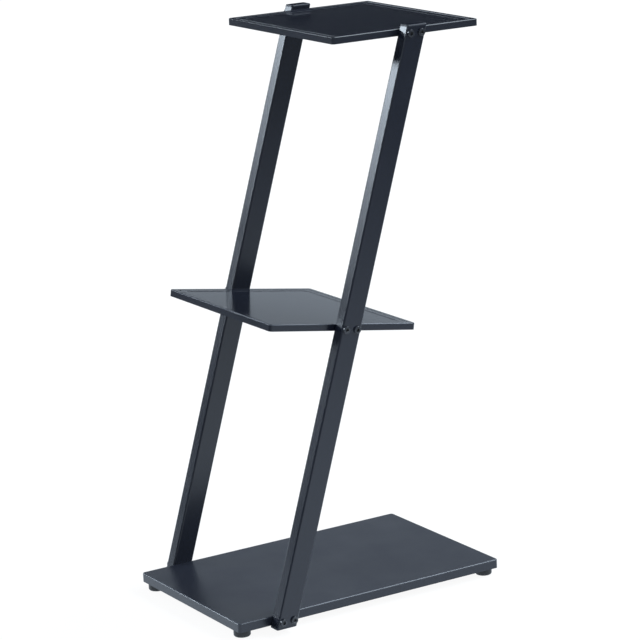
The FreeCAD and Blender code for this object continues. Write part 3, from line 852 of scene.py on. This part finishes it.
screw_places = {}
turn = 0.0
for side, way in (("front", -1), ("rear", 1)):
    for joint, tilt in JOINT_TILTS.items():
        node = f"{side}_{joint}_screws"
        screws_low, screws_high = (Vector(corner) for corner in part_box(node))
        middle = (screws_low + screws_high) / 2
        crown = screws_low.y if way < 0 else screws_high.y
        middle.y = crown - way * HEAD_HEIGHT * MM
        along = Vector((math.cos(tilt), 0, -math.sin(tilt))) * SCREW_SPACING / 2 * MM
        screw_places[joint] = (middle - along, middle + along)
        pair = []
        for place in screw_places[joint]:
            upright = Matrix.Rotation(-way * math.pi / 2, 4, "X") @ Matrix.Rotation(turn, 4, "Z")
            pair.append(copy_to(screw_model, Matrix.Translation(place) @ upright))
            turn += SOCKET_STEP
        select_only(*pair)
        bpy.ops.object.join()
        hand_in(bpy.context.object, f"{side}_{joint}_socket_screws", node, "table_frame")
        print(f"{side} {joint} screws at height {middle.z / MM:.1f}")
bpy.data.objects.remove(screw_model)

# %% [markdown]
# ## Pressed shelves
# The measured shelves have one slope between rim and floor. The fine lines round the floors in the
# photograph look like two small steps left by the press, so the shelves are modelled again. A shelf is
# one sheet, so its skin is drawn in one run: from the floor out over the steps and the fold, down the
# flange, round its lower edge and back on the underside. The run is a list of rounded outlines, each
# with its inset from the edge, its corner radius and its height.

# %% Shelf outlines
SHELF_STEEL = 1.0
SHELF_CORNER = 4
FLOOR_CORNER = 7
# Start, end and drop of each step, inwards from the edge
RIM_STEPS = ((5.5, 8.5, 0.5), (15.2, 16.4, 0.4))
FOLD_STEPS = 10


def step_outlines(below):
    """The outlines of the pressed steps, on the upper skin or as far below it as the steel is thick."""
    outlines = []
    height = -below
    for start, end, drop in RIM_STEPS:
        outlines += [(start, FLOOR_CORNER, height), (end, FLOOR_CORNER, height - drop)]
        height -= drop
    return outlines


def shelf_outlines(flange):
    """All outlines of a shelf's skin, from the floor round the flange to the underside."""
    fold = []
    for number in range(FOLD_STEPS + 1):
        turn = math.pi / 2 * number / FOLD_STEPS
        inset = FOLD_SIZE * (1 - math.cos(turn))
        fold.append((inset, SHELF_CORNER - inset, FOLD_SIZE * (math.sin(turn) - 1)))
    inner_corner = SHELF_CORNER - SHELF_STEEL
    upper = [(0, SHELF_CORNER, -flange), *fold, *step_outlines(0)]
    lower = [
        (SHELF_STEEL, inner_corner, -flange), (SHELF_STEEL, inner_corner, -SHELF_STEEL),
        *step_outlines(SHELF_STEEL)]
    return upper[::-1] + lower


# %% [markdown]
# The sheet starts as a plane of the floor's size with bevelled corners. Each extrusion makes a copy of
# the last outline, which is then set to the next one of the run. Scaling could not do that, because it
# would stretch the round corners.

# %% Pressing
CORNER_STEPS = 8


def corner_place(length, outline):
    """The middle of an outline's corner on the positive side, its radius and its height, in metres."""
    inset, radius, height = outline
    reach = inset + radius
    return (length / 2 - reach) * MM, (TRAY_DEPTH / 2 - reach) * MM, radius * MM, height * MM


def set_outline(piece, length, before, after):
    """Moves the selected outline of the piece in edit mode from one size to the next."""
    old_x, old_y, _, _ = corner_place(length, before)
    x, y, radius, height = corner_place(length, after)
    mesh = bmesh.from_edit_mesh(piece.data)
    for corner in (corner for corner in mesh.verts if corner.select):
        turn = math.atan2(abs(corner.co.y) - old_y, abs(corner.co.x) - old_x)
        corner.co.x = math.copysign(x + radius * math.cos(turn), corner.co.x)
        corner.co.y = math.copysign(y + radius * math.sin(turn), corner.co.y)
        corner.co.z = height
    bmesh.update_edit_mesh(piece.data)


def press_shelf(name, length, flange):
    """A shelf whose rim lies level round the origin."""
    outlines = shelf_outlines(flange)
    inset, corner, height = outlines[0]
    bpy.ops.object.select_all(action="DESELECT")
    bpy.ops.mesh.primitive_plane_add(size=1, location=(0, 0, height * MM))
    shelf = bpy.context.object
    shelf.name = name
    shelf.scale = ((length - 2 * inset) * MM, (TRAY_DEPTH - 2 * inset) * MM, 1)
    bpy.ops.object.transform_apply(location=True, scale=True)
    bpy.ops.object.mode_set(mode="EDIT")
    bpy.ops.mesh.select_mode(type="FACE")
    bpy.ops.mesh.select_all(action="SELECT")
    bpy.ops.mesh.bevel(offset=corner * MM, segments=CORNER_STEPS, affect="VERTICES")
    bpy.ops.mesh.select_all(action="SELECT")
    for before, after in zip(outlines, outlines[1:]):
        bpy.ops.mesh.extrude_region_move(TRANSFORM_OT_translate={"value": (0, 0, 0)})
        set_outline(shelf, length, before, after)
    close_shell()
    return shelf


# %% [markdown]
# The screw holes go through the flanges only. A drill right through the shelf would graze the
# underside of the pressed floor, so each hole has its own short one.

# %% Shelves
HOLE_RADIUS = 2.75
DRILL_LENGTH = 8


def drill_shelf(shelf, joint):
    """Cuts the screw holes of a joint in both flanges."""
    for place in screw_places[joint]:
        for way in (-1, 1):
            bpy.ops.object.select_all(action="DESELECT")
            bpy.ops.mesh.primitive_cylinder_add(
                vertices=ROUND_STEPS, radius=HOLE_RADIUS * MM, depth=DRILL_LENGTH * MM,
                location=(place.x, way * TRAY_DEPTH / 2 * MM, place.z), rotation=(math.pi / 2, 0, 0))
            drill = bpy.context.object
            bpy.ops.object.transform_apply(location=True, rotation=True)
            combine(shelf, drill, "DIFFERENCE")


for joint in ("middle", "top"):
    tray = f"{joint}_shelf"
    tilt = JOINT_TILTS[joint]
    level_shelf = press_shelf(f"{tray}_model", *TRAY_SIZES[tray])
    shelf = copy_to(level_shelf, Matrix.Translation(tray_top(tray, tilt)) @ Matrix.Rotation(tilt, 4, "Y"))
    bpy.data.objects.remove(level_shelf)
    drill_shelf(shelf, joint)
    shelf.data.materials.append(finishes[TRAY_COATS[tray]])
    hand_in(shelf, f"{joint}_pressed_shelf", tray, "table_frame")
    print(f"{shelf.name}: {len(shelf.data.polygons)} faces")
